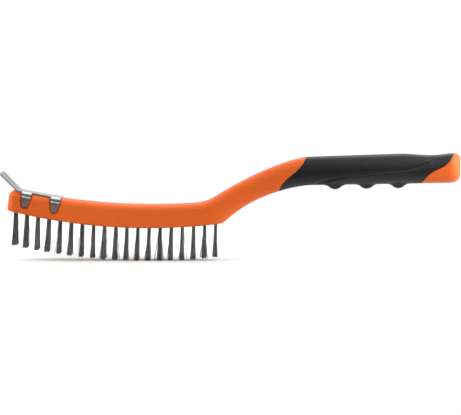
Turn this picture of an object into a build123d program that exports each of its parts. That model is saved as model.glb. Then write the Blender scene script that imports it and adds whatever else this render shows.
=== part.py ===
"""Long-handled wire brush with a clipped-on steel scraper.

Millimetres, +Z up.  The brush stands on its bristle tips with the head towards -X and the handle
towards +X.  The origin is the bottom centre of the whole brush's box.  While it is being drawn,
"u" is the distance along X from the front face of the head.
"""
import math
import os

from build123d import *

# ---- head block ---------------------------------------------------------------------------
HEAD_LENGTH = 166.9          # front face to the corner where the neck leaves the underside
HEAD_WIDTH = 25.0
BLOCK_DEPTH = 17.4           # underside to top, where the underside is lowest
UNDERSIDE_RADIUS = 440.0     # the head is bowed like a sledge runner
TOPSIDE_RADIUS = 500.0
UNDERSIDE_LOW_U = 109.5      # where the bowed underside is lowest
TOPSIDE_LOW_U = 113.0
BOWED_LENGTH = 142.9         # front face to where the top starts to turn up into the neck
NARROWING_START = 4.0        # ahead of the underside corner, where the sides draw in
FRONT_RAKE = 2.2             # top of the front face set back from its foot
FRONT_CORNER_RADIUS = 5.5    # seen from above
TOP_EDGE_RADIUS = 4.5
LOWER_EDGE_RADIUS = 1.4

# ---- neck and handle ----------------------------------------------------------------------
NECK_RUN = 71.3              # along X, from the underside corner to the straight grip
NECK_RISE = 29.2
NECK_DEPTH = 19.7            # upright depth of the neck half way up
NECK_WIDTH = 22.0
HANDLE_RUN = 111.7           # straight part, to the end of the tail
HANDLE_RISE = 1.9
HANDLE_DEPTH_FRONT = 21.4
HANDLE_DEPTH_REAR = 23.2
HANDLE_WIDTH = 28.0
HOLLOW_DEPTH = 1.8           # thumb hollow in the top, ahead of the tail
HOLLOW_TO_TAIL = 23.7
HOLLOW_START_TO_TAIL = 46.0
TAIL_FLARE = 9.0             # degrees, slope of the top out of the hollow
TAIL_WIDTH = 25.0
TAIL_CORNER_RADIUS = 10.0    # seen from above
HANDLE_EDGE_RADIUS = 6.0

# ---- soft grip ----------------------------------------------------------------------------
GRIP_WALL = 3.0              # sleeve thickness over the core
RIDGE_COUNT = 3
RIDGE_PITCH = 24.4
RIDGE_FIRST = 15.0           # from the start of the straight grip
RIDGE_CHORD = 18.0           # foot to foot
RIDGE_HEIGHT = 3.5
RIDGE_EDGE_RADIUS = 2.5
RIDGE_NARROWING = 7.0        # how much less wide than the handle

# ---- bristles -----------------------------------------------------------------------------
ROWS_ALONG = 19
ROWS_ACROSS = 3
ROW_SPACING = 6.2            # across the head
FRONT_TUFT_INSET = 6.0
REAR_TUFT_INSET = 5.9
FRONT_TUFT_LEAN = 3.5        # degrees, tips towards the front
REAR_TUFT_LEAN = 1.2
HOLE_RADIUS = 1.25
HOLE_DEPTH = 11.0
TRIM_LENGTH = 25.5           # wire standing out of the block
TUFT_TIP_RADIUS = 1.9
ANCHOR_LENGTH = 3.8          # across the hole, so that its ends bite into the block
ANCHOR_HEIGHT = 2.4
ANCHOR_THICKNESS = 0.4
FOLD_THICKNESS = 1.2         # wire between the anchor and the bottom of the hole

# ---- scraper ------------------------------------------------------------------------------
SHEET = 0.8
BEND_INNER_RADIUS = 1.0
PLATE_FRONT_U = 8.2          # root of the blade
PLATE_REAR_U = 42.4
PLATE_WIDTH = 20.0
PLATE_OVERLAP = 0.5          # how far a leg runs into the plate
BLADE_LENGTH = 19.2
BLADE_ANGLE = 46.0           # degrees above the horizontal
BLADE_ROOT_WIDTH = 27.0
BLADE_WIDTH = 33.0           # at the scraping edge
BLADE_EDGE_LAND = 0.35       # thickness left at the ground scraping edge
BLADE_EDGE_BEVEL = 1.6
LEG_WIDTH = 7.4
FRONT_LEG_U = 15.5
REAR_LEG_U = 37.7
LEG_DROP = 1.6               # straight part of the leg above its inward step
LEG_STEP = 0.6               # how far the tongue is stepped in
STEP_DROP = 0.8
TONGUE_LENGTH = 7.6
TONGUE_WIDTH = 6.8
TONGUE_END_WIDTH = 4.4
TONGUE_RIM = 0.8             # flat edge left round the pressed hollow
TONGUE_HOLLOW = 0.45
TONGUE_INSET = 0.8           # tongue's face to the side of the head
POCKET_GAP = 1.3             # round the tongue, in its pocket
POCKET_FLOOR_GAP = 0.1       # behind the tongue

# ---- values worked out from the sizes above -----------------------------------------------
UNDERSIDE_LOW_Z = TRIM_LENGTH
TOPSIDE_LOW_Z = UNDERSIDE_LOW_Z + BLOCK_DEPTH
HANDLE_START_U = HEAD_LENGTH + NECK_RUN
BODY_LENGTH = HANDLE_START_U + HANDLE_RUN


def underside_z(u):
    """Height of the bowed underside of the head."""
    reach = u - UNDERSIDE_LOW_U
    return UNDERSIDE_LOW_Z + UNDERSIDE_RADIUS - math.sqrt(UNDERSIDE_RADIUS ** 2 - reach ** 2)


def topside_z(u):
    """Height of the bowed top of the head."""
    reach = u - TOPSIDE_LOW_U
    return TOPSIDE_LOW_Z + TOPSIDE_RADIUS - math.sqrt(TOPSIDE_RADIUS ** 2 - reach ** 2)


def topside_slope(u):
    """Angle of the top of the head above +X, in degrees."""
    return math.degrees(math.asin((u - TOPSIDE_LOW_U) / TOPSIDE_RADIUS))


CORNER_Z = underside_z(HEAD_LENGTH)
HANDLE_LOW_Z = CORNER_Z + NECK_RISE
BLADE_TIP_U = PLATE_FRONT_U - BLADE_LENGTH * math.cos(math.radians(BLADE_ANGLE))
SHIFT_X = -(BLADE_TIP_U + BODY_LENGTH) / 2


def side_point(u, z):
    """A point of the middle plane, where side outlines are drawn."""
    return Vector(u, 0, z)


def side_prism(edges, width):
    """Solid of the given width across Y from a closed side outline."""
    face = make_face(edges)
    return extrude(face, amount=width / 2, dir=(0, 1, 0), both=True)


def side_outline():
    """Head, neck and handle seen from the side, as a closed chain."""
    front_low = side_point(0, underside_z(0))
    low_mid = side_point(UNDERSIDE_LOW_U, UNDERSIDE_LOW_Z)
    corner = side_point(HEAD_LENGTH, CORNER_Z)
    handle_low = side_point(HANDLE_START_U, HANDLE_LOW_Z)
    tail_low = side_point(BODY_LENGTH, HANDLE_LOW_Z + HANDLE_RISE)
    tail_top = side_point(BODY_LENGTH, tail_low.Z + HANDLE_DEPTH_REAR)
    top_start_u = HANDLE_START_U - 4.0
    handle_top = side_point(top_start_u, HANDLE_LOW_Z + HANDLE_DEPTH_FRONT)
    crest_u = BODY_LENGTH - HOLLOW_START_TO_TAIL
    top_slope = (tail_top.Z - handle_top.Z) / (tail_top.X - handle_top.X)
    crest = side_point(crest_u, handle_top.Z + top_slope * (crest_u - top_start_u))
    hollow_u = BODY_LENGTH - HOLLOW_TO_TAIL
    hollow_z = handle_top.Z + top_slope * (hollow_u - top_start_u) - HOLLOW_DEPTH
    hollow = side_point(hollow_u, hollow_z)
    neck_top = side_point(BOWED_LENGTH, topside_z(BOWED_LENGTH))
    top_mid = side_point(BOWED_LENGTH / 2, topside_z(BOWED_LENGTH / 2))
    front_top = side_point(FRONT_RAKE, topside_z(FRONT_RAKE))
    neck_low_1 = corner + Vector(0.33 * NECK_RUN, 0, 0.57 * NECK_RISE)
    neck_low_2 = corner + Vector(0.72 * NECK_RUN, 0, 0.91 * NECK_RISE)
    neck_top_1 = corner + Vector(-0.06 * NECK_RUN, 0, NECK_DEPTH + 1.3)
    neck_top_2 = neck_low_1 + Vector(0, 0, NECK_DEPTH)
    neck_top_3 = neck_low_2 + Vector(0, 0, NECK_DEPTH + 1.2)
    handle_run = tail_low - handle_low
    top_run = tail_top - handle_top
    neck_start = Vector(math.cos(math.radians(43)), 0, math.sin(math.radians(43)))
    flare = math.radians(TAIL_FLARE)
    tail_end = Vector(math.cos(flare), 0, math.sin(flare))
    slope = math.radians(topside_slope(BOWED_LENGTH))
    block_end = Vector(math.cos(slope), 0, math.sin(slope))
    return [
        ThreePointArc(front_low, low_mid, corner),
        Spline(corner, neck_low_1, neck_low_2, handle_low, tangents=(neck_start, handle_run.normalized())),
        Line(handle_low, tail_low),
        Line(tail_low, tail_top),
        Spline(tail_top, hollow, crest, tangents=(tail_end * -1, top_run.normalized() * -1)),
        Line(crest, handle_top),
        Spline(handle_top, neck_top_3, neck_top_2, neck_top_1, neck_top,
               tangents=(top_run.normalized() * -1, block_end * -1)),
        ThreePointArc(neck_top, top_mid, front_top),
        Line(front_top, front_low),
    ]


def plan_outline():
    """Face of the head, neck and handle seen from above, run on past the front of the head."""
    head_end = Vector(HEAD_LENGTH - NARROWING_START, HEAD_WIDTH / 2)
    neck = Vector(HEAD_LENGTH + 0.35 * NECK_RUN, NECK_WIDTH / 2)
    palm = Vector(HANDLE_START_U + 0.38 * HANDLE_RUN, HANDLE_WIDTH / 2)
    tail = Vector(BODY_LENGTH - TAIL_CORNER_RADIUS - 4, TAIL_WIDTH / 2)
    tail_end = Vector(BODY_LENGTH, TAIL_WIDTH / 2 - 0.6)
    front = Vector(-HEAD_WIDTH, HEAD_WIDTH / 2)
    along = Vector(1, 0)
    side = [
        Line(front, head_end),
        Spline(head_end, neck, palm, tail, tail_end,
               tangents=(along, (tail_end - tail).normalized())),
    ]
    far = [edge.mirror(Plane.XZ) for edge in side]
    ends = [
        Line(tail_end, Vector(tail_end.X, -tail_end.Y)),
        Line(front, Vector(front.X, -front.Y)),
    ]
    face = make_face(side + far + ends)
    tail_corners = face.vertices().group_by(Axis.X)[-1]
    return fillet(tail_corners, TAIL_CORNER_RADIUS)


def edges_between(solid, upward):
    """Edges where the upward (or downward) faces of a solid meet its upright sides."""
    sign = 1 if upward else -1
    level = [face for face in solid.faces() if face.normal_at().Z * sign > 0.5]
    upright = [face for face in solid.faces() if abs(face.normal_at().Z) < 0.2]
    upright_edges = [edge for face in upright for edge in face.edges()]
    return [edge for face in level for edge in face.edges() if edge in upright_edges]


def outer_skin():
    """The whole moulding's outside, with the handle's soft grip taken as part of it."""
    tall = 200.0
    side = side_prism(side_outline(), 2 * HANDLE_WIDTH)
    plan = Pos(0, 0, -tall / 2) * extrude(plan_outline(), amount=tall)
    skin = (side & plan).solids()[0]
    front_corners = [
        edge for edge in skin.edges()
        if edge.center().X < 2 * FRONT_RAKE and abs(edge.center().Y) > HEAD_WIDTH / 4
        and edge.bounding_box().size.Z > BLOCK_DEPTH / 2
    ]
    skin = fillet(front_corners, FRONT_CORNER_RADIUS)
    skin = fillet(edges_between(skin, True), TOP_EDGE_RADIUS)
    low = edges_between(skin, False)
    head_low = [edge for edge in low if edge.center().X < HEAD_LENGTH]
    handle_low = [edge for edge in low if edge.center().X > HEAD_LENGTH]
    skin = fillet(handle_low, HANDLE_EDGE_RADIUS)
    head_low = [edge for edge in edges_between(skin, False) if edge.center().X < HEAD_LENGTH]
    return fillet(head_low, LOWER_EDGE_RADIUS)


def grip_zone():
    """Slice of space that the soft grip fills, between two S-shaped ends."""
    low_u = HANDLE_START_U
    low_z = HANDLE_LOW_Z
    tail_u = BODY_LENGTH
    tail_z = HANDLE_LOW_Z + HANDLE_RISE
    reach = 15.0
    front = Spline(
        side_point(low_u - 8.0, low_z + HANDLE_DEPTH_FRONT + reach),
        side_point(low_u - 8.6, low_z + 19.2),
        side_point(low_u - 15.2, low_z + 11.0),
        side_point(low_u - 25.0, low_z + 2.1),
        side_point(low_u - 27.0, low_z - reach),
    )
    rear = Spline(
        side_point(tail_u - 3.2, tail_z + HANDLE_DEPTH_REAR + reach),
        side_point(tail_u - 6.7, tail_z + 19.6),
        side_point(tail_u - 12.9, tail_z + 13.0),
        side_point(tail_u - 20.6, tail_z + 9.3),
        side_point(tail_u - 26.0, tail_z + 5.3),
        side_point(tail_u - 26.2, tail_z - reach),
    )
    outline = [front, Line(front @ 1, rear @ 1), rear, Line(rear @ 0, front @ 0)]
    return side_prism(outline, 2 * HANDLE_WIDTH)


def grip_core():
    """Prism whose middle stretch is the handle's hard core, a wall inside the grip all round."""
    low = HANDLE_LOW_Z + GRIP_WALL
    top = HANDLE_LOW_Z + HANDLE_DEPTH_FRONT - GRIP_WALL
    in_neck_u = HANDLE_START_U - 36.0
    in_tail_u = BODY_LENGTH - TAIL_CORNER_RADIUS
    corners = [
        side_point(in_neck_u, low - 6.0),
        side_point(HANDLE_START_U - 5.0, low),
        side_point(in_tail_u, low + HANDLE_RISE),
        side_point(in_tail_u, top + HANDLE_RISE),
        side_point(HANDLE_START_U - 8.0, top),
        side_point(in_neck_u, top - 10.4),
    ]
    sides = [Line(corners[index - 1], corners[index]) for index in range(len(corners))]
    return side_prism(sides, NECK_WIDTH - 2 * GRIP_WALL)


def finger_ridges():
    """Waves under the grip, between which the fingers sit."""
    slope = HANDLE_RISE / HANDLE_RUN
    width = HANDLE_WIDTH - RIDGE_NARROWING
    along = Vector(1, 0, slope).normalized()
    ridges = []
    for index in range(RIDGE_COUNT):
        crest_along = RIDGE_FIRST + index * RIDGE_PITCH
        crest = side_point(HANDLE_START_U + crest_along, HANDLE_LOW_Z + slope * crest_along - RIDGE_HEIGHT)
        lift = Vector(0, 0, RIDGE_HEIGHT)
        front = crest + lift - along * (RIDGE_CHORD / 2)
        rear = crest + lift + along * (RIDGE_CHORD / 2)
        inside = Vector(0, 0, GRIP_WALL + RIDGE_EDGE_RADIUS)
        wave = []
        turn = along
        points = [front, (front + crest) * 0.5, crest, (crest + rear) * 0.5, rear]
        for start, end in zip(points, points[1:]):
            arc = TangentArc(start, end, tangent=turn)
            turn = arc % 1
            wave.append(arc)
        ridge = side_prism([
            *wave,
            Line(rear, rear + inside),
            Line(rear + inside, front + inside),
            Line(front + inside, front),
        ], width)
        ridges.append(fillet(ridge.edges().filter_by(GeomType.CIRCLE), RIDGE_EDGE_RADIUS))
    return ridges


def tuft_places():
    """Hole mouths as rows along the head, each row a list of points across it."""
    pitch = (HEAD_LENGTH - FRONT_TUFT_INSET - REAR_TUFT_INSET) / (ROWS_ALONG - 1)
    rows = []
    for along in range(ROWS_ALONG):
        u = FRONT_TUFT_INSET + along * pitch
        across = [(index - (ROWS_ACROSS - 1) / 2) * ROW_SPACING for index in range(ROWS_ACROSS)]
        rows.append([Vector(u, y, underside_z(u)) for y in across])
    return rows


def hole_frame(mouth):
    """Place at a hole's mouth, with +Z up the hole."""
    first_u = FRONT_TUFT_INSET
    last_u = HEAD_LENGTH - REAR_TUFT_INSET
    share = (mouth.X - first_u) / (last_u - first_u)
    lean = FRONT_TUFT_LEAN + (REAR_TUFT_LEAN - FRONT_TUFT_LEAN) * share
    return Location(mouth, (0, lean, 0))


def tuft_anchor(mouth):
    """Flat steel strip that the wires are folded over, driven in with them."""
    deep_edge = HOLE_DEPTH - FOLD_THICKNESS
    strip = Box(ANCHOR_LENGTH, ANCHOR_THICKNESS, ANCHOR_HEIGHT)
    return hole_frame(mouth) * Pos(0, 0, deep_edge - ANCHOR_HEIGHT / 2) * strip


def tuft_hole(mouth):
    """Blind hole, run out a little past its mouth."""
    past = 2.0
    hole = Pos(0, 0, (HOLE_DEPTH - past) / 2) * Cylinder(HOLE_RADIUS, HOLE_DEPTH + past)
    return hole_frame(mouth) * hole


def tip_space():
    """Space inside the surface that the bristle tips are trimmed to, level with the underside."""
    radius = UNDERSIDE_RADIUS + TRIM_LENGTH
    disc = Cylinder(radius, 2 * HEAD_WIDTH, rotation=(90, 0, 0))
    return Pos(UNDERSIDE_LOW_U, 0, UNDERSIDE_LOW_Z + UNDERSIDE_RADIUS) * disc


def tuft(mouth, trim):
    """Bundle of folded wires: straight in its hole, spreading to the trimmed tips."""
    straight = 1.5
    spare = 4.0
    root = Pos(0, 0, (HOLE_DEPTH - straight) / 2) * Cylinder(HOLE_RADIUS, HOLE_DEPTH + straight)
    length = TRIM_LENGTH - straight + spare
    spread = (TUFT_TIP_RADIUS - HOLE_RADIUS) * length / (TRIM_LENGTH - straight)
    brush = Cone(HOLE_RADIUS + spread, HOLE_RADIUS, length)
    brush = Pos(0, 0, -straight - length / 2) * brush
    bundle = hole_frame(mouth) * (root + brush)
    return (bundle & trim) - tuft_anchor(mouth)


def leg_place(u):
    """Place on the top of the head at u, with X along the bow and Z square to it."""
    return Location((u, 0, topside_z(u)), (0, -topside_slope(u), 0))


def tongue_face(margin):
    """U-shaped outline of a tongue in its own XZ plane, hanging from z = 0, grown by a margin."""
    top = TONGUE_WIDTH / 2 + margin
    low = TONGUE_END_WIDTH / 2 + margin
    length = TONGUE_LENGTH + margin
    knee = length - low * 0.8
    chain = [
        Line((-top, 0, 0), (top, 0, 0)),
        Line((top, 0, 0), (low, 0, -knee)),
        ThreePointArc((low, 0, -knee), (0, 0, -length), (-low, 0, -knee)),
        Line((-low, 0, -knee), (-top, 0, 0)),
    ]
    return make_face(chain)


def leg_side():
    """One leg on the +Y side, in its own place: bend, drop, inward step and tongue."""
    face_y = HEAD_WIDTH / 2 - TONGUE_INSET
    back_y = face_y - SHEET
    drop_y = back_y + LEG_STEP
    bend_y = drop_y - BEND_INNER_RADIUS
    bend_z = -BEND_INNER_RADIUS
    drop_z = bend_z - LEG_DROP
    step_z = drop_z - STEP_DROP
    inner_mid = BEND_INNER_RADIUS * math.sqrt(0.5)
    outer = BEND_INNER_RADIUS + SHEET
    outer_mid = outer * math.sqrt(0.5)
    start_y = PLATE_WIDTH / 2 - PLATE_OVERLAP
    section = [
        Line((0, start_y, 0), (0, bend_y, 0)),
        ThreePointArc((0, bend_y, 0), (0, bend_y + inner_mid, bend_z + inner_mid), (0, drop_y, bend_z)),
        Line((0, drop_y, bend_z), (0, drop_y, drop_z)),
        Line((0, drop_y, drop_z), (0, back_y, step_z)),
        Line((0, back_y, step_z), (0, face_y, step_z)),
        Line((0, face_y, step_z), (0, drop_y + SHEET, drop_z)),
        Line((0, drop_y + SHEET, drop_z), (0, drop_y + SHEET, bend_z)),
        ThreePointArc((0, drop_y + SHEET, bend_z), (0, bend_y + outer_mid, bend_z + outer_mid),
                      (0, bend_y, SHEET)),
        Line((0, bend_y, SHEET), (0, start_y, SHEET)),
        Line((0, start_y, SHEET), (0, start_y, 0)),
    ]
    leg = extrude(make_face(section), amount=LEG_WIDTH / 2, dir=(1, 0, 0), both=True)
    tongue = extrude(tongue_face(0), amount=SHEET, dir=(0, 1, 0))
    hollow = extrude(tongue_face(-TONGUE_RIM), amount=SHEET, dir=(0, 1, 0))
    tongue = Pos(0, back_y, step_z) * tongue
    hollow = Pos(0, face_y - TONGUE_HOLLOW, step_z - TONGUE_RIM / 2) * hollow
    return leg + tongue - hollow


def leg_pocket():
    """Space cut for one leg in the +Y side of the head, open at the top."""
    floor_y = HEAD_WIDTH / 2 - TONGUE_INSET - SHEET - POCKET_FLOOR_GAP
    step_z = -BEND_INNER_RADIUS - LEG_DROP - STEP_DROP
    pocket = extrude(tongue_face(POCKET_GAP), amount=HEAD_WIDTH, dir=(0, 1, 0))
    width = TONGUE_WIDTH + 2 * POCKET_GAP
    mouth = Box(width, HEAD_WIDTH, TOP_EDGE_RADIUS - step_z)
    mouth = Pos(0, HEAD_WIDTH / 2, step_z + (TOP_EDGE_RADIUS - step_z) / 2) * mouth
    return Pos(0, floor_y, 0) * (Pos(0, 0, step_z) * pocket + mouth)


def both_sides(solid):
    """A solid and its mirror image across the brush's middle plane."""
    return [solid, mirror(solid, about=Plane.XZ)]


def scraper_plate():
    """Curved plate on the head and the blade bent up from its front edge."""
    middle_u = (PLATE_FRONT_U + PLATE_REAR_U) / 2
    root, middle, rear = [side_point(u, topside_z(u)) for u in (PLATE_FRONT_U, middle_u, PLATE_REAR_U)]
    lift = Vector(0, 0, SHEET)
    blade_angle = math.radians(180 - BLADE_ANGLE)
    plate_angle = math.radians(topside_slope(PLATE_FRONT_U))
    along = Vector(math.cos(blade_angle), 0, math.sin(blade_angle))
    square = Vector(math.sin(blade_angle), 0, -math.cos(blade_angle))
    bisector = (blade_angle + plate_angle) / 2
    opening = (blade_angle - plate_angle) / 2
    inner = root + Vector(math.cos(bisector), 0, math.sin(bisector)) * (SHEET / math.sin(opening))
    tip = root + along * BLADE_LENGTH
    land = tip + square * BLADE_EDGE_LAND
    shoulder = tip - along * BLADE_EDGE_BEVEL + square * SHEET
    face = make_face([
        ThreePointArc(root, middle, rear),
        Line(rear, rear + lift),
        ThreePointArc(rear + lift, middle + lift, inner),
        Line(inner, shoulder),
        Line(shoulder, land),
        Line(land, tip),
        Line(tip, root),
    ])
    face = fillet(face.vertices().sort_by_distance(root)[0], SHEET + BEND_INNER_RADIUS)
    face = fillet(face.vertices().sort_by_distance(inner)[:1], BEND_INNER_RADIUS)
    sheet = extrude(face, amount=BLADE_WIDTH / 2, dir=(0, 1, 0), both=True)
    return sheet & scraper_blank(root, tip)


def scraper_blank(root, tip):
    """Upright prism with the scraper's outline from above: plate, and blade flared to its edge."""
    bend_u = root.X + 2 * SHEET
    past = 2.0
    corners = [
        Vector(PLATE_REAR_U + past, PLATE_WIDTH / 2),
        Vector(bend_u, PLATE_WIDTH / 2),
        Vector(bend_u, BLADE_ROOT_WIDTH / 2),
        Vector(root.X, BLADE_ROOT_WIDTH / 2),
        Vector(tip.X, BLADE_WIDTH / 2),
        Vector(tip.X - past, BLADE_WIDTH / 2),
    ]
    corners += [Vector(corner.X, -corner.Y) for corner in reversed(corners)]
    sides = [Line(corners[index - 1], corners[index]) for index in range(len(corners))]
    return extrude(make_face(sides), amount=TOPSIDE_LOW_Z * 2)


def build():
    """Every node of the brush, by name, in the finished frame."""
    skin = outer_skin()
    zone = grip_zone()
    core = grip_core()
    body = (skin - zone) + (core & zone)
    grip = (skin & zone) - core
    for ridge in finger_ridges():
        grip = grip + (ridge - core)

    scraper = scraper_plate()
    for leg_u in (FRONT_LEG_U, REAR_LEG_U):
        place = leg_place(leg_u)
        for leg in both_sides(leg_side()):
            scraper = scraper + place * leg
        for pocket in both_sides(leg_pocket()):
            body = body - place * pocket

    rows = tuft_places()
    anchors = [tuft_anchor(mouth) for row in rows for mouth in row]
    for row in rows:
        body = body - [tuft_hole(mouth) + tuft_anchor(mouth) for mouth in row]

    nodes = {"handle_body": body, "grip_sleeve": grip, "scraper": scraper}
    nodes["tuft_anchors"] = Compound(children=anchors)
    trim = tip_space()
    for number, row in enumerate(rows, start=1):
        nodes[f"tuft_row_{number:02d}"] = Compound(children=[tuft(mouth, trim) for mouth in row])
    return {name: Pos(SHIFT_X, 0, 0) * node for name, node in nodes.items()}


if __name__ == "__main__":
    os.makedirs("parts", exist_ok=True)
    for name, node in build().items():
        export_step(node, f"parts/{name}.step")
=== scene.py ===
"""Visual model of a long-handled wire brush, built round its CAD frame.

The frame's own solids give every place and size.  Each piece of the brush has an operator, and one
more operator sets up the studio.  Run as a script, the file makes everything in order.
"""
import math
import random

import bmesh
import bpy
import numpy as np
from bpy.props import FloatProperty, FloatVectorProperty, IntProperty, PointerProperty
from mathutils import Matrix, Vector


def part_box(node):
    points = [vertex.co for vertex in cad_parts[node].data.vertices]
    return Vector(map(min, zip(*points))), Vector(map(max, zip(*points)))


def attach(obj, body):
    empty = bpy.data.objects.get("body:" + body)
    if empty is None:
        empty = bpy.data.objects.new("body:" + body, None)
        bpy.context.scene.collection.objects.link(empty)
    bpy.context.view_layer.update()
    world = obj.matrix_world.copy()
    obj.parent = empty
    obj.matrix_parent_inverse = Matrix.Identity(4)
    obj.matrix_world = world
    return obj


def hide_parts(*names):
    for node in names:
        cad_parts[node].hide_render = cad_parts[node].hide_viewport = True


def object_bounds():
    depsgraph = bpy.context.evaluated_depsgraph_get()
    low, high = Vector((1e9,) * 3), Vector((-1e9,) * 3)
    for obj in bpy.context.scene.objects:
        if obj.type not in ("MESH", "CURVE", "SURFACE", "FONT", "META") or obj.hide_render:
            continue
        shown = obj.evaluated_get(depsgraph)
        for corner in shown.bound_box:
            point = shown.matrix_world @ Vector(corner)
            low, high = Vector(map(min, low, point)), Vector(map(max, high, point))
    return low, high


bl_info = {
    "name": "Wire brush",
    "version": (1, 0, 0),
    "blender": (4, 5, 0),
    "location": "3D View > Sidebar > Brush",
    "description": "Makes the visual pieces of a long-handled wire brush with a scraper",
    "category": "Object",
}

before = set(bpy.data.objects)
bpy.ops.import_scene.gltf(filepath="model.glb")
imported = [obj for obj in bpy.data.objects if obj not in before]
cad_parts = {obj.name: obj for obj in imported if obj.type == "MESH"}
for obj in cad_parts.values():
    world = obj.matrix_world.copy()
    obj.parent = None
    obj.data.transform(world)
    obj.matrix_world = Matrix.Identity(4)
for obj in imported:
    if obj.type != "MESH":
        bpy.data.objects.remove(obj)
CAD_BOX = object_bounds()
MM = 0.001
ROWS = sorted(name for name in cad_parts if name.startswith("tuft_row"))


# ---- colours and nodes ---------------------------------------------------------------------

def linear(hex_colour):
    """An sRGB hex colour as linear red, green, blue."""
    values = []
    for start in (0, 2, 4):
        c = int(hex_colour[start:start + 2], 16) / 255
        values.append(c / 12.92 if c <= 0.04045 else ((c + 0.055) / 1.055) ** 2.4)
    return tuple(values)


def add_node(tree, kind, inputs=None, **settings):
    """Adds a node, sets its attributes, and sets or links its inputs."""
    node = tree.nodes.new(kind)
    for name, value in settings.items():
        setattr(node, name, value)
    for name, value in (inputs or {}).items():
        if isinstance(value, bpy.types.NodeSocket):
            tree.links.new(value, node.inputs[name])
        else:
            node.inputs[name].default_value = value
    return node


def new_material(name):
    """An empty material with its shader and the place on the object, in metres."""
    material = bpy.data.materials.new(name)
    material.use_nodes = True
    tree = material.node_tree
    tree.nodes.clear()
    shader = add_node(tree, "ShaderNodeBsdfPrincipled")
    add_node(tree, "ShaderNodeOutputMaterial", {"Surface": shader.outputs["BSDF"]})
    place = add_node(tree, "ShaderNodeTexCoord").outputs["Object"]
    return material, tree, shader, place


# ---- materials -----------------------------------------------------------------------------

# Noise stays mostly between these values, so ramps over them reach both of their ends.
NOISE_LOW = 0.3
NOISE_HIGH = 0.7


def moulded_polypropylene(colours):
    """Polypropylene, injection moulded: an even, strongly coloured satin skin.

    The spark-eroded tool leaves a grain of about half a millimetre, and slow cooling of thick
    stretches leaves soft, wide changes of gloss.
    """
    material, tree, shader, place = new_material("polypropylene_moulded_orange")
    cloud_size = 28 * MM
    eroded_size = 0.5 * MM
    eroded_depth = 0.012 * MM
    sink_size = 9 * MM
    sink_depth = 0.05 * MM
    clouds = add_node(tree, "ShaderNodeTexNoise", {
        "Vector": place, "Scale": 1 / cloud_size, "Detail": 3, "Roughness": 0.5}).outputs["Fac"]
    tone = add_node(tree, "ShaderNodeMapRange", {
        "Value": clouds, "From Min": NOISE_LOW, "From Max": NOISE_HIGH,
        "To Min": 0, "To Max": 1}).outputs["Result"]
    colour = add_node(tree, "ShaderNodeMix", {
        0: tone, 6: (*colours.plastic, 1), 7: (*colours.plastic_shade, 1)}, data_type="RGBA").outputs[2]
    gloss = add_node(tree, "ShaderNodeMapRange", {
        "Value": clouds, "From Min": NOISE_LOW, "From Max": NOISE_HIGH,
        "To Min": 0.36, "To Max": 0.46}).outputs["Result"]
    eroded = add_node(tree, "ShaderNodeTexNoise", {
        "Vector": place, "Scale": 1 / eroded_size, "Detail": 3, "Roughness": 0.6}).outputs["Fac"]
    fine_bump = add_node(tree, "ShaderNodeBump", {
        "Height": eroded, "Distance": eroded_depth, "Strength": 0.6}).outputs["Normal"]
    sinks = add_node(tree, "ShaderNodeTexNoise", {
        "Vector": place, "Scale": 1 / sink_size, "Detail": 1, "Roughness": 0.5}).outputs["Fac"]
    bump = add_node(tree, "ShaderNodeBump", {
        "Height": sinks, "Distance": sink_depth, "Strength": 0.4, "Normal": fine_bump}).outputs["Normal"]
    tree.links.new(colour, shader.inputs["Base Color"])
    tree.links.new(gloss, shader.inputs["Roughness"])
    tree.links.new(bump, shader.inputs["Normal"])
    shader.inputs["IOR"].default_value = 1.49
    shader.inputs["Specular IOR Level"].default_value = 0.15
    return material


def moulded_rubber(colours):
    """Thermoplastic rubber, moulded over the handle: matt black that greys where light grazes it.

    A fine leather-like erosion on the tool gives the grip its dry touch.
    """
    material, tree, shader, place = new_material("thermoplastic_rubber_moulded_black")
    cloud_size = 16 * MM
    eroded_size = 0.35 * MM
    eroded_depth = 0.03 * MM
    clouds = add_node(tree, "ShaderNodeTexNoise", {
        "Vector": place, "Scale": 1 / cloud_size, "Detail": 3, "Roughness": 0.5}).outputs["Fac"]
    tone = add_node(tree, "ShaderNodeMapRange", {
        "Value": clouds, "From Min": NOISE_LOW, "From Max": NOISE_HIGH,
        "To Min": 0, "To Max": 1}).outputs["Result"]
    colour = add_node(tree, "ShaderNodeMix", {
        0: tone, 6: (*colours.rubber, 1), 7: (*colours.rubber_worn, 1)}, data_type="RGBA").outputs[2]
    eroded = add_node(tree, "ShaderNodeTexNoise", {
        "Vector": place, "Scale": 1 / eroded_size, "Detail": 4, "Roughness": 0.7}).outputs["Fac"]
    gloss = add_node(tree, "ShaderNodeMapRange", {
        "Value": eroded, "From Min": NOISE_LOW, "From Max": NOISE_HIGH,
        "To Min": 0.4, "To Max": 0.55}).outputs["Result"]
    bump = add_node(tree, "ShaderNodeBump", {
        "Height": eroded, "Distance": eroded_depth, "Strength": 0.6}).outputs["Normal"]
    tree.links.new(colour, shader.inputs["Base Color"])
    tree.links.new(gloss, shader.inputs["Roughness"])
    tree.links.new(bump, shader.inputs["Normal"])
    shader.inputs["IOR"].default_value = 1.5
    shader.inputs["Specular IOR Level"].default_value = 0.3
    return material


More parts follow.
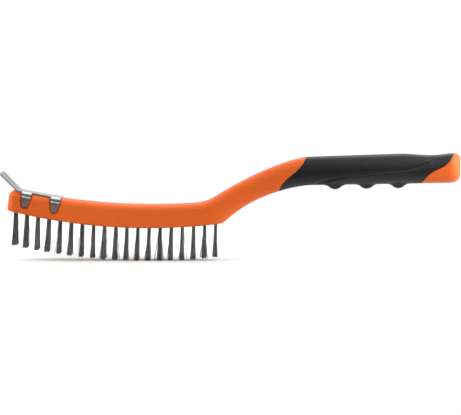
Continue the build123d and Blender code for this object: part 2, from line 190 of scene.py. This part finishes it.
def plated_sheet(colours):
    """Cold rolled steel sheet, zinc plated: bright, with faint rolling lines and a cloudy bloom."""
    material, tree, shader, place = new_material("steel_sheet_zinc_plated")
    bloom_size = 4 * MM
    line_pitch = 0.12 * MM
    line_depth = 0.004 * MM
    bloom = add_node(tree, "ShaderNodeTexNoise", {
        "Vector": place, "Scale": 1 / bloom_size, "Detail": 4, "Roughness": 0.6}).outputs["Fac"]
    tone = add_node(tree, "ShaderNodeMapRange", {
        "Value": bloom, "From Min": NOISE_LOW, "From Max": NOISE_HIGH,
        "To Min": 0, "To Max": 1}).outputs["Result"]
    colour = add_node(tree, "ShaderNodeMix", {
        0: tone, 6: (*colours.sheet, 1), 7: (*colours.sheet_bloom, 1)}, data_type="RGBA").outputs[2]
    # Rolling lines about a tenth of a millimetre apart run across the blade.
    stretched = add_node(tree, "ShaderNodeMapping", {"Vector": place, "Scale": (1, 0.04, 1)})
    lines = add_node(tree, "ShaderNodeTexNoise", {
        "Vector": stretched.outputs["Vector"], "Scale": 1 / line_pitch, "Detail": 3,
        "Roughness": 0.6}).outputs["Fac"]
    gloss = add_node(tree, "ShaderNodeMapRange", {
        "Value": lines, "From Min": NOISE_LOW, "From Max": NOISE_HIGH,
        "To Min": 0.22, "To Max": 0.36}).outputs["Result"]
    bump = add_node(tree, "ShaderNodeBump", {
        "Height": lines, "Distance": line_depth, "Strength": 0.5}).outputs["Normal"]
    tree.links.new(colour, shader.inputs["Base Color"])
    tree.links.new(gloss, shader.inputs["Roughness"])
    tree.links.new(bump, shader.inputs["Normal"])
    shader.inputs["Metallic"].default_value = 1.0
    return material


def drawn_wire(colours):
    """Tempered steel wire, drawn and oil hardened: dark grey, each wire a little different."""
    material, tree, shader, place = new_material("steel_wire_drawn_tempered")
    patch_size = 3 * MM
    # Die marks along the drawn wire, drawn coarser than real so that they show.
    mark_size = 0.3 * MM
    mark_depth = 0.01 * MM
    island = add_node(tree, "ShaderNodeNewGeometry").outputs["Random Per Island"]
    noise = add_node(tree, "ShaderNodeTexNoise", {
        "Vector": place, "Scale": 1 / patch_size, "Detail": 3, "Roughness": 0.5}).outputs["Fac"]
    patches = add_node(tree, "ShaderNodeMapRange", {
        "Value": noise, "From Min": NOISE_LOW, "From Max": NOISE_HIGH,
        "To Min": 0, "To Max": 0.5}).outputs["Result"]
    both = add_node(tree, "ShaderNodeMath", {0: island, 1: patches}, operation="ADD").outputs[0]
    tone = add_node(tree, "ShaderNodeMapRange", {
        "Value": both, "From Min": 0, "From Max": 1.5, "To Min": 0, "To Max": 1}).outputs["Result"]
    colour = add_node(tree, "ShaderNodeMix", {
        0: tone, 6: (*colours.wire_dark, 1), 7: (*colours.wire_bright, 1)}, data_type="RGBA").outputs[2]
    gloss = add_node(tree, "ShaderNodeMapRange", {
        "Value": island, "From Min": 0, "From Max": 1, "To Min": 0.28, "To Max": 0.46}).outputs["Result"]
    marks = add_node(tree, "ShaderNodeTexNoise", {
        "Vector": place, "Scale": 1 / mark_size, "Detail": 2, "Roughness": 0.5}).outputs["Fac"]
    bump = add_node(tree, "ShaderNodeBump", {
        "Height": marks, "Distance": mark_depth, "Strength": 0.4}).outputs["Normal"]
    tree.links.new(colour, shader.inputs["Base Color"])
    tree.links.new(gloss, shader.inputs["Roughness"])
    tree.links.new(bump, shader.inputs["Normal"])
    shader.inputs["Metallic"].default_value = 1.0
    return material


def stamped_strip(colours):
    """Flat steel strip, cut for tuft anchors: plain grey with shear marks."""
    material, tree, shader, place = new_material("steel_strip_stamped")
    mark_size = 0.4 * MM
    mark_depth = 0.01 * MM
    marks = add_node(tree, "ShaderNodeTexNoise", {
        "Vector": place, "Scale": 1 / mark_size, "Detail": 3, "Roughness": 0.5}).outputs["Fac"]
    tone = add_node(tree, "ShaderNodeMapRange", {
        "Value": marks, "From Min": NOISE_LOW, "From Max": NOISE_HIGH,
        "To Min": 0, "To Max": 1}).outputs["Result"]
    colour = add_node(tree, "ShaderNodeMix", {
        0: tone, 6: (*colours.sheet, 1), 7: (*colours.wire_bright, 1)}, data_type="RGBA").outputs[2]
    gloss = add_node(tree, "ShaderNodeMapRange", {
        "Value": marks, "From Min": NOISE_LOW, "From Max": NOISE_HIGH,
        "To Min": 0.3, "To Max": 0.5}).outputs["Result"]
    bump = add_node(tree, "ShaderNodeBump", {
        "Height": marks, "Distance": mark_depth, "Strength": 1.0}).outputs["Normal"]
    tree.links.new(colour, shader.inputs["Base Color"])
    tree.links.new(gloss, shader.inputs["Roughness"])
    tree.links.new(bump, shader.inputs["Normal"])
    shader.inputs["Metallic"].default_value = 1.0
    return material


def painted_floor(floor_colour):
    """Studio floor, painted: an even matt that is very slightly patchy, as rolled paint is."""
    material, tree, shader, place = new_material("painted_floor_matt")
    patch_size = 0.8
    paler = [min(1, c * 1.01) for c in floor_colour]
    patches = add_node(tree, "ShaderNodeTexNoise", {
        "Vector": place, "Scale": 1 / patch_size, "Detail": 2, "Roughness": 0.5}).outputs["Fac"]
    tone = add_node(tree, "ShaderNodeMapRange", {
        "Value": patches, "From Min": NOISE_LOW, "From Max": NOISE_HIGH,
        "To Min": 0, "To Max": 1}).outputs["Result"]
    colour = add_node(tree, "ShaderNodeMix", {
        0: tone, 6: (*floor_colour, 1), 7: (*paler, 1)}, data_type="RGBA").outputs[2]
    tree.links.new(colour, shader.inputs["Base Color"])
    shader.inputs["Roughness"].default_value = 0.9
    return material


# ---- sizes and colours a user would change ---------------------------------------------------

def colour_property(name, description, hex_colour):
    """A colour setting whose default is an sRGB hex value."""
    return FloatVectorProperty(name=name, description=description, default=linear(hex_colour),
                               size=3, min=0, max=1, subtype="COLOR")


def length_property(name, description, millimetres):
    """A length setting, given in millimetres and kept in metres."""
    return FloatProperty(name=name, description=description, default=millimetres * MM, min=0,
                         precision=5, unit="LENGTH", subtype="DISTANCE")


class BrushColours(bpy.types.PropertyGroup):
    """Colours of the brush's finishes."""
    plastic: colour_property("Plastic", "Moulded body", "C85A22")
    plastic_shade: colour_property("Plastic shade", "Soft darker clouds in the body", "C2541F")
    rubber: colour_property("Rubber", "Moulded grip", "0C0C0D")
    rubber_worn: colour_property("Worn rubber", "Greyer clouds in the grip", "121213")
    sheet: colour_property("Sheet steel", "Bright plated sheet", "DDE2E2")
    sheet_bloom: colour_property("Plating bloom", "Duller clouds in the plating", "C2C8C7")
    wire_dark: colour_property("Dark wire", "Darkest bristle wires", "47474A")
    wire_bright: colour_property("Bright wire", "Brightest bristle wires", "8E8E90")
    floor: colour_property("Floor", "Plain studio floor", "CECECC")


class BrushSizes(bpy.types.PropertyGroup):
    """Sizes of what the visual model adds to the frame."""
    wire_diameter: length_property("Wire diameter", "Thickness of one bristle wire", 0.3)
    wires_per_tuft: IntProperty(name="Wires per tuft", description="Wires folded in half in one hole",
                                default=26, min=3, max=60)
    wire_sides: IntProperty(name="Wire sides", description="Flats round one wire", default=6, min=3, max=12)
    wire_wave: length_property("Wire wave", "Sideways wander of a wire between hole and tip", 0.16)
    tip_spread: FloatProperty(name="Tip spread", description="How far the wires open out, against the frame",
                              default=1.3, min=0.5, max=2)
    trim_scatter: length_property("Trim scatter", "How unevenly the tips are trimmed", 0.7)
    stray_share: FloatProperty(name="Stray wires", description="Share of wires bent out of their tuft",
                               default=0.05, min=0, max=1, subtype="FACTOR")
    stray_reach: length_property("Stray reach", "How far a stray wire leans out at its tip", 2.4)
    hole_depth: length_property("Hole depth", "Depth of the blind hole that holds a tuft", 11.0)
    anchor_depth: length_property("Fold depth", "Depth at which the wires fold over their anchor", 9.8)
    grip_voxel: length_property("Grip mesh size", "Edge length of the grip's mesh", 0.45)
    groove_depth: length_property("Groove depth", "Depth of the line moulded along the grip", 0.8)
    groove_width: length_property("Groove width", "Width of the line moulded along the grip", 1.6)
    side_crown: length_property("Side crown", "Bulge of the neck's and handle's sides", 3.0)
    panel_step: length_property("Panel step", "How far the finger panel stands proud", 0.5)
    sheet_edge: length_property("Sheet edge", "Rounding of the stamped sheet's edges", 0.25)


# ---- bristles ------------------------------------------------------------------------------

def tuft_solids(node):
    """Centre and radius of both ends of each tuft in a row: (root, root radius, tip, tip radius)."""
    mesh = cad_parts[node].data
    parent = list(range(len(mesh.vertices)))

    def find(index):
        while parent[index] != index:
            parent[index] = parent[parent[index]]
            index = parent[index]
        return index

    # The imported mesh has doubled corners, so places and not indices join the faces.
    seen = {}
    for vertex in mesh.vertices:
        key = tuple(round(c, 6) for c in vertex.co)
        parent[find(vertex.index)] = find(seen.setdefault(key, vertex.index))
    for edge in mesh.edges:
        parent[find(edge.vertices[0])] = find(edge.vertices[1])
    groups = {}
    for vertex in mesh.vertices:
        groups.setdefault(find(vertex.index), []).append(vertex.co)
    tufts = []
    for points in groups.values():
        low = min(p.z for p in points)
        high = max(p.z for p in points)
        roots = [p for p in points if p.z > high - 0.3 * MM]
        tips = [p for p in points if p.z < low + 0.7 * MM]
        ends = []
        for ring in (roots, tips):
            centre = sum(ring, Vector()) / len(ring)
            ends += [centre, max((p - centre).xy.length for p in ring)]
        tufts.append(tuple(ends))
    return sorted(tufts, key=lambda tuft: tuft[0].y)


def tube_through(bm, points, radius, sides):
    """Adds a round wire along a list of points, with flat cut ends."""
    rings = []
    for index, point in enumerate(points):
        before = points[max(index - 1, 0)]
        after = points[min(index + 1, len(points) - 1)]
        along = (after - before).normalized()
        turn = along.to_track_quat("Z", "X")
        ring = []
        for side in range(sides):
            angle = 2 * math.pi * side / sides
            ring.append(bm.verts.new(point + turn @ Vector((math.cos(angle), math.sin(angle), 0)) * radius))
        rings.append(ring)
    for first, second in zip(rings, rings[1:]):
        # The frame of one ring may be turned against the next, so the nearest corners are joined.
        shift = min(range(sides), key=lambda s: (first[0].co - second[s].co).length_squared)
        for side in range(sides):
            following = (side + 1) % sides
            bm.faces.new((first[side], first[following],
                          second[(following + shift) % sides], second[(side + shift) % sides]))
    bm.faces.new(reversed(rings[0]))
    bm.faces.new(rings[-1])


def wire_leg(start, rng, sizes, tuft, clumps):
    """Points of one leg of a folded wire from the hole's mouth to its trimmed tip, mouth first.

    start is the wire's place across the hole, in metres from the hole's axis.
    """
    root, root_radius, tip, tip_radius = tuft
    axis = (tip - root).normalized()
    length = (tip - root).length
    mouth = sizes.hole_depth
    grown = start * (tip_radius / root_radius * sizes.tip_spread)
    clump = min(clumps, key=lambda c: (c - grown).length)
    end = grown.lerp(clump, rng.uniform(0.1, 0.45))
    end += Vector((rng.gauss(0, 0.16), rng.gauss(0, 0.16))) * MM
    if rng.random() < sizes.stray_share:
        lean = Vector((rng.choice((-1, 1)) * rng.uniform(0.5, 1), rng.uniform(-0.5, 0.5)))
        end += lean * sizes.stray_reach
    reach = length + rng.gauss(0, 0.35) * sizes.trim_scatter
    if rng.random() < 0.08:
        reach -= rng.uniform(0.5, 2.0) * sizes.trim_scatter
    reach = min(reach, length + 0.25 * sizes.trim_scatter)
    phase = rng.uniform(0, 2 * math.pi)
    waves = rng.uniform(0.6, 1.6)
    swing = Vector((rng.gauss(0, 1), rng.gauss(0, 1))) * sizes.wire_wave * 0.6
    points = []
    steps = 6
    for step in range(steps + 1):
        t = step / steps
        across = start.lerp(end, t ** 1.25)
        wander = math.sin(phase + waves * 2 * math.pi * t) * math.sin(math.pi * min(t, 0.75))
        across = across + swing * wander
        down = root + axis * (mouth + (reach - mouth) * t)
        points.append(down + Vector((across.x, across.y, 0)))
    return points


def folded_wire(rng, sizes, tuft, clumps):
    """Points of a whole wire: tip, mouth, over the anchor at the bottom of the hole, mouth, tip."""
    root, root_radius, tip, _ = tuft
    axis = (tip - root).normalized()
    room = root_radius - sizes.wire_diameter / 2
    legs = []
    for side in (-1, 1):
        while True:
            start = Vector((rng.uniform(-room, room), rng.uniform(0.16 * room, room)))
            if start.length < room:
                break
        start.y *= side
        legs.append((start, wire_leg(start, rng, sizes, tuft, clumps)))
    fold_depth = sizes.hole_depth - sizes.anchor_depth
    fold = []
    for share in (0, 0.25, 0.5, 0.75, 1):
        across = legs[0][0].lerp(legs[1][0], share)
        rise = math.sin(math.pi * share) * min(fold_depth, abs(legs[0][0].y) + 0.2 * MM)
        fold.append(root + axis * (fold_depth + 0.4 * MM - rise) + Vector((across.x, across.y, 0)))
    return list(reversed(legs[0][1])) + fold + legs[1][1]


def smooth_all(mesh):
    """Shades every face of a mesh smooth."""
    mesh.polygons.foreach_set("use_smooth", [True] * len(mesh.polygons))


def place_piece(name, mesh, material, node):
    """Puts a mesh in the scene as the visible piece of a CAD node."""
    piece = bpy.data.objects.new(name, mesh)
    bpy.context.scene.collection.objects.link(piece)
    mesh.materials.clear()
    mesh.materials.append(material)
    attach(piece, "root")
    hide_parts(node)
    return piece


class BRUSH_OT_bristles(bpy.types.Operator):
    """Fills every tuft hole with folded steel wires"""
    bl_idname = "brush.bristles"
    bl_label = "Fill the tufts"

    def execute(self, context):
        sizes = context.scene.brush_sizes
        material = drawn_wire(context.scene.brush_colours)
        if not ROWS:
            raise RuntimeError("the frame has no tuft rows")
        for number, node in enumerate(ROWS, start=1):
            rng = random.Random(1900 + number)
            bm = bmesh.new()
            for tuft in tuft_solids(node):
                clumps = []
                for _ in range(rng.choice((2, 3, 3, 4))):
                    angle = rng.uniform(0, 2 * math.pi)
                    reach = tuft[3] * rng.uniform(0.35, 0.8)
                    clumps.append(Vector((math.cos(angle), math.sin(angle))) * reach)
                for _ in range(sizes.wires_per_tuft):
                    tube_through(bm, folded_wire(rng, sizes, tuft, clumps),
                                 sizes.wire_diameter / 2, sizes.wire_sides)
            mesh = bpy.data.meshes.new(f"wires_row_{number:02d}")
            bm.to_mesh(mesh)
            bm.free()
            smooth_all(mesh)
            place_piece(f"wires_row_{number:02d}", mesh, material, node)
        return {"FINISHED"}


# ---- moulded body --------------------------------------------------------------------------

def give_material(node, material):
    """Gives a kept CAD node its material."""
    mesh_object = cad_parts[node]
    mesh_object.data.materials.clear()
    mesh_object.data.materials.append(material)


def ramp(value, start, end):
    """Smooth rise from 0 at start to 1 at end, for numbers or arrays."""
    t = np.clip((value - start) / (end - start), 0, 1)
    return t * t * (3 - 2 * t)


def handle_section(x):
    """Middle height and half depth of the neck and handle at each x."""
    points = []
    for node in ("handle_body", "grip_sleeve"):
        points += [v.co.to_tuple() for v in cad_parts[node].data.vertices]
    points = np.array(points)
    stations = np.linspace(0, points[:, 0].max() - 4 * MM, 40)
    tops = []
    for station in stations:
        near = points[np.abs(points[:, 0] - station) < 4 * MM]
        tops.append(near[:, 2].max() if len(near) else np.nan)
    tops = np.array(tops)
    known = ~np.isnan(tops)
    top = np.interp(x, stations[known], tops[known])
    depth = np.interp(x, (0.0, 0.06, CAD_BOX[1].x), (19 * MM, 21.4 * MM, 23.2 * MM))
    return top - depth / 2, depth / 2


def crown_sides(mesh, sizes):
    """Bulges the sides of the neck and handle, so that they narrow towards top and bottom."""
    count = len(mesh.vertices)
    co = np.empty(count * 3)
    mesh.vertices.foreach_get("co", co)
    co = co.reshape(-1, 3)
    middle, half = handle_section(co[:, 0])
    height = np.clip((co[:, 2] - middle) / half, -1.15, 1.15)
    amount = sizes.side_crown * ramp(co[:, 0], -15 * MM, 45 * MM)
    co[:, 1] *= 1 - amount / (12.5 * MM) * height ** 2
    mesh.vertices.foreach_set("co", co.ravel())
    mesh.update()


def cut_finely(bm, step_x, step_z, first_x):
    """Cuts a mesh into a grid of small faces without moving its surface."""
    xs = [v.co.x for v in bm.verts]
    zs = [v.co.z for v in bm.verts if v.co.x > first_x]
    for low, high, step, axis in ((first_x, max(xs), step_x, 0), (min(zs), max(zs), step_z, 2)):
        place = low + step
        while place < high:
            point = Vector((0, 0, 0))
            point[axis] = place
            normal = Vector((0, 0, 0))
            normal[axis] = 1
            faces = [f for f in bm.faces if max(v.co.x for v in f.verts) > first_x]
            geom = set(faces)
            for face in faces:
                geom.update(face.edges)
                geom.update(face.verts)
            bmesh.ops.bisect_plane(bm, geom=list(geom), plane_co=point, plane_no=normal)
            place += step


class BRUSH_OT_body(bpy.types.Operator):
    """Finishes the moulded head, neck and tail"""
    bl_idname = "brush.body"
    bl_label = "Finish the moulding"

    def execute(self, context):
        sizes = context.scene.brush_sizes
        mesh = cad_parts["handle_body"].data.copy()
        mesh.name = "body_moulding"
        bm = bmesh.new()
        bm.from_mesh(mesh)
        bmesh.ops.remove_doubles(bm, verts=bm.verts, dist=0.002 * MM)
        cut_finely(bm, 4 * MM, 3 * MM, -15 * MM)
        bm.to_mesh(mesh)
        bm.free()
        if "custom_normal" in mesh.attributes:
            mesh.attributes.remove(mesh.attributes["custom_normal"])
        crown_sides(mesh, sizes)
        smooth_all(mesh)
        mesh.set_sharp_from_angle(angle=math.radians(32))
        piece = place_piece("body_moulding", mesh, moulded_polypropylene(context.scene.brush_colours),
                            "handle_body")
        piece.modifiers.new("normals", "WEIGHTED_NORMAL").keep_sharp = True
        return {"FINISHED"}


class BRUSH_OT_anchors(bpy.types.Operator):
    """Finishes the flat anchors at the bottoms of the tuft holes"""
    bl_idname = "brush.anchors"
    bl_label = "Finish the anchors"

    def execute(self, context):
        give_material("tuft_anchors", stamped_strip(context.scene.brush_colours))
        return {"FINISHED"}


# ---- soft grip -----------------------------------------------------------------------------

def remeshed_copy(node, voxel, name):
    """An even mesh of a CAD node's solid."""
    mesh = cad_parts[node].data.copy()
    helper = bpy.data.objects.new(name, mesh)
    bpy.context.scene.collection.objects.link(helper)
    bm = bmesh.new()
    bm.from_mesh(mesh)
    bmesh.ops.remove_doubles(bm, verts=bm.verts, dist=0.001 * MM)
    bm.to_mesh(mesh)
    bm.free()
    remesh = helper.modifiers.new("even", "REMESH")
    remesh.mode = "VOXEL"
    remesh.voxel_size = voxel
    relax = helper.modifiers.new("relax", "SMOOTH")
    relax.factor = 0.5
    relax.iterations = 6
    evaluated = helper.evaluated_get(bpy.context.evaluated_depsgraph_get())
    result = bpy.data.meshes.new_from_object(evaluated)
    bpy.data.objects.remove(helper)
    result.name = name
    return result


def line_heights(x, low, high):
    """Height of the moulded line along the grip at each x, from a few points of its course."""
    # Shares of the grip's box: along it from the front, and up it from the lowest ridge.
    course = ((0.20, 0.18), (0.23, 0.23), (0.30, 0.325), (0.38, 0.405), (0.47, 0.47), (0.55, 0.512),
              (0.70, 0.58), (0.755, 0.618), (0.79, 0.66), (0.825, 0.725), (0.85, 0.79), (0.89, 0.93))
    along = np.array([low.x + share * (high.x - low.x) for share, _ in course])
    up = np.array([low.z + share * (high.z - low.z) for _, share in course])
    return np.interp(x, along, up), along[0], along[-1]


def relieve_grip(mesh, sizes):
    """Moulds the swept line and the raised finger panel into both sides of the grip."""
    low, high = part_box("grip_sleeve")
    count = len(mesh.vertices)
    co = np.empty(count * 3)
    normal = np.empty(count * 3)
    mesh.vertices.foreach_get("co", co)
    mesh.vertices.foreach_get("normal", normal)
    co = co.reshape(-1, 3)
    normal = normal.reshape(-1, 3)
    height, first, last = line_heights(co[:, 0], low, high)
    above = co[:, 2] - height
    outside = np.sign(co[:, 1]) * normal[:, 1]
    side = np.clip((outside - 0.1) / 0.5, 0, 1)
    ends = np.clip((co[:, 0] - first) / (4 * MM), 0, 1) * np.clip((last - co[:, 0]) / (4 * MM), 0, 1)
    groove = -sizes.groove_depth * np.exp(-(above / (0.5 * sizes.groove_width)) ** 2)
    below = np.clip(-above / sizes.groove_width, 0, 1)
    fading = np.exp(-np.clip(-above - 2 * MM, 0, None) / (5 * MM))
    panel = sizes.panel_step * below * fading
    co += normal * ((groove + panel) * side * ends)[:, None]
    mesh.vertices.foreach_set("co", co.ravel())
    mesh.update()


class BRUSH_OT_grip(bpy.types.Operator):
    """Moulds the soft grip over the handle"""
    bl_idname = "brush.grip"
    bl_label = "Mould the grip"

    def execute(self, context):
        sizes = context.scene.brush_sizes
        mesh = remeshed_copy("grip_sleeve", sizes.grip_voxel, "grip_overmould")
        relieve_grip(mesh, sizes)
        crown_sides(mesh, sizes)
        smooth_all(mesh)
        place_piece("grip_overmould", mesh, moulded_rubber(context.scene.brush_colours),
                    "grip_sleeve")
        return {"FINISHED"}


# ---- scraper -------------------------------------------------------------------------------

class BRUSH_OT_scraper(bpy.types.Operator):
    """Rounds the edges of the stamped and bent sheet-steel scraper"""
    bl_idname = "brush.scraper"
    bl_label = "Press the scraper"

    def execute(self, context):
        sizes = context.scene.brush_sizes
        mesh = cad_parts["scraper"].data.copy()
        mesh.name = "scraper_sheet"
        bm = bmesh.new()
        bm.from_mesh(mesh)
        bmesh.ops.remove_doubles(bm, verts=bm.verts, dist=0.002 * MM)
        bmesh.ops.dissolve_limit(bm, angle_limit=math.radians(0.5), verts=bm.verts, edges=bm.edges)
        sharp = [edge for edge in bm.edges
                 if len(edge.link_faces) == 2 and edge.calc_face_angle(0) > math.radians(35)]
        bmesh.ops.bevel(bm, geom=sharp, offset=sizes.sheet_edge, offset_type="OFFSET", segments=2,
                        profile=0.5, affect="EDGES", clamp_overlap=True)
        bm.to_mesh(mesh)
        bm.free()
        mesh.normals_split_custom_set([(0, 0, 0)] * len(mesh.loops))
        smooth_all(mesh)
        piece = place_piece("scraper_sheet", mesh, plated_sheet(context.scene.brush_colours),
                            "scraper")
        piece.modifiers.new("normals", "WEIGHTED_NORMAL").keep_sharp = True
        return {"FINISHED"}


# ---- studio --------------------------------------------------------------------------------

class StudioSettings(bpy.types.PropertyGroup):
    """Camera and lights."""
    distance: length_property("Camera distance", "From the lens to the brush", 1800)
    elevation: FloatProperty(name="Elevation", description="Height of the view above level",
                             default=math.radians(4.5), unit="ROTATION", subtype="ANGLE")
    view_width: length_property("View width", "Width of the view where the brush is", 357.3)
    aim_height: length_property("Aim height", "Height of the view's centre above the bristle tips", 40.7)
    key_power: FloatProperty(name="Front light", description="Power of the light high in front",
                             default=0.42, min=0)
    back_power: FloatProperty(name="Back light", description="Power of the light high behind",
                              default=6, min=0)
    side_power: FloatProperty(name="Side lights", description="Power of each end light", default=7, min=0)
    room: FloatProperty(name="Room light", description="Light from above and behind", default=1.15, min=0)
    back_room: FloatProperty(name="Back room light", description="Light from behind, near level",
                             default=0.35, min=0)
    front_room: FloatProperty(name="Front room light", description="Light from the viewer's side",
                              default=0.05, min=0)


def soft_light(name, place, aim, width, height, power):
    """A rectangular soft box pointing at a place."""
    light = bpy.data.lights.new(name, "AREA")
    light.shape = "RECTANGLE"
    light.size = width
    light.size_y = height
    light.energy = power
    holder = bpy.data.objects.new(name, light)
    holder.location = place
    holder.rotation_euler = (Vector(aim) - Vector(place)).to_track_quat("-Z", "Y").to_euler()
    bpy.context.scene.collection.objects.link(holder)


def light_the_room(studio):
    """White to look at; as light, bright from above and dim from the viewer's side.

    The dim front is what lets black rubber stay black and polished sheet read as metal.
    """
    world = bpy.data.worlds.new("studio")
    world.use_nodes = True
    tree = world.node_tree
    tree.nodes.clear()
    direction = add_node(tree, "ShaderNodeTexCoord").outputs["Generated"]
    axes = add_node(tree, "ShaderNodeSeparateXYZ", {"Vector": direction}).outputs
    level = add_node(tree, "ShaderNodeMapRange", {
        "Value": axes["Y"], "From Min": -0.5, "From Max": 0.6,
        "To Min": studio.front_room, "To Max": studio.back_room}).outputs["Result"]
    strength = add_node(tree, "ShaderNodeMapRange", {
        "Value": axes["Z"], "From Min": 0.1, "From Max": 0.6,
        "To Min": level, "To Max": studio.room}).outputs["Result"]
    lit = add_node(tree, "ShaderNodeBackground", {"Color": (1, 1, 1, 1), "Strength": strength})
    seen = add_node(tree, "ShaderNodeBackground", {"Color": (1, 1, 1, 1), "Strength": 1.0})
    ray = add_node(tree, "ShaderNodeLightPath").outputs["Is Camera Ray"]
    both = add_node(tree, "ShaderNodeMixShader", {0: ray, 1: lit.outputs[0], 2: seen.outputs[0]})
    add_node(tree, "ShaderNodeOutputWorld", {"Surface": both.outputs[0]})
    bpy.context.scene.world = world


class BRUSH_OT_studio(bpy.types.Operator):
    """Sets the floor, the lights and the camera"""
    bl_idname = "brush.studio"
    bl_label = "Set the studio"

    def execute(self, context):
        scene = context.scene
        studio = scene.brush_studio
        light_the_room(studio)
        mesh = bpy.data.meshes.new("floor")
        # The floor stops a little in front of the brush, as a table does.
        corners = [(-0.9, -0.12, 0), (0.9, -0.12, 0), (0.9, 0.45, 0), (-0.9, 0.45, 0)]
        mesh.from_pydata(corners, [], [(0, 1, 2, 3)])
        mesh.materials.append(painted_floor(scene.brush_colours.floor))
        floor = bpy.data.objects.new("floor", mesh)
        floor.location.z = CAD_BOX[0].z - 0.05 * MM
        scene.collection.objects.link(floor)
        soft_light("key_box", (0.26, -0.36, 0.36), (0.1, 0, 0.07), 0.4, 0.2, studio.key_power)
        soft_light("back_box", (0, 0.7, 1.0), (0, 0, 0.05), 1.6, 0.5, studio.back_power)
        soft_light("right_box", (0.6, -0.1, 0.25), (0.15, 0, 0.07), 0.4, 0.4, studio.side_power)
        soft_light("left_box", (-0.6, -0.1, 0.3), (-0.15, 0, 0.05), 0.4, 0.4, 0.5 * studio.side_power)
        camera = bpy.data.cameras.new("camera")
        camera.sensor_width = 36
        camera.sensor_fit = "HORIZONTAL"
        camera.lens = camera.sensor_width * studio.distance / studio.view_width
        camera.clip_start = 0.05
        camera.clip_end = 100
        holder = bpy.data.objects.new("camera", camera)
        centre = (CAD_BOX[0] + CAD_BOX[1]) / 2
        aim = Vector((centre.x, 0, CAD_BOX[0].z + studio.aim_height))
        back = Vector((0, -math.cos(studio.elevation), math.sin(studio.elevation)))
        holder.location = aim + back * studio.distance
        holder.rotation_euler = (-back).to_track_quat("-Z", "Y").to_euler()
        scene.collection.objects.link(holder)
        scene.camera = holder
        scene.view_settings.view_transform = "Standard"
        return {"FINISHED"}


# ---- panel and registration ------------------------------------------------------------------

OPERATORS = (BRUSH_OT_body, BRUSH_OT_grip, BRUSH_OT_scraper, BRUSH_OT_bristles, BRUSH_OT_anchors,
             BRUSH_OT_studio)
SETTINGS = {"brush_sizes": BrushSizes, "brush_colours": BrushColours, "brush_studio": StudioSettings}


class BRUSH_PT_panel(bpy.types.Panel):
    """Sizes, colours and steps of the wire brush"""
    bl_idname = "BRUSH_PT_panel"
    bl_label = "Wire brush"
    bl_space_type = "VIEW_3D"
    bl_region_type = "UI"
    bl_category = "Brush"

    def draw(self, context):
        for operator in OPERATORS:
            self.layout.operator(operator.bl_idname)
        for group in SETTINGS:
            settings = getattr(context.scene, group)
            box = self.layout.box()
            for name in settings.bl_rna.properties.keys():
                if name not in ("name", "rna_type"):
                    box.prop(settings, name)


def register():
    for cls in (*SETTINGS.values(), *OPERATORS, BRUSH_PT_panel):
        bpy.utils.register_class(cls)
    for name, group in SETTINGS.items():
        setattr(bpy.types.Scene, name, PointerProperty(type=group))


def unregister():
    for name in SETTINGS:
        delattr(bpy.types.Scene, name)
    for cls in (BRUSH_PT_panel, *reversed(OPERATORS), *SETTINGS.values()):
        bpy.utils.unregister_class(cls)


def main():
    register()
    bpy.ops.brush.body()
    bpy.ops.brush.grip()
    bpy.ops.brush.scraper()
    bpy.ops.brush.bristles()
    bpy.ops.brush.anchors()
    bpy.ops.brush.studio()


if __name__ == "__main__":
    main()
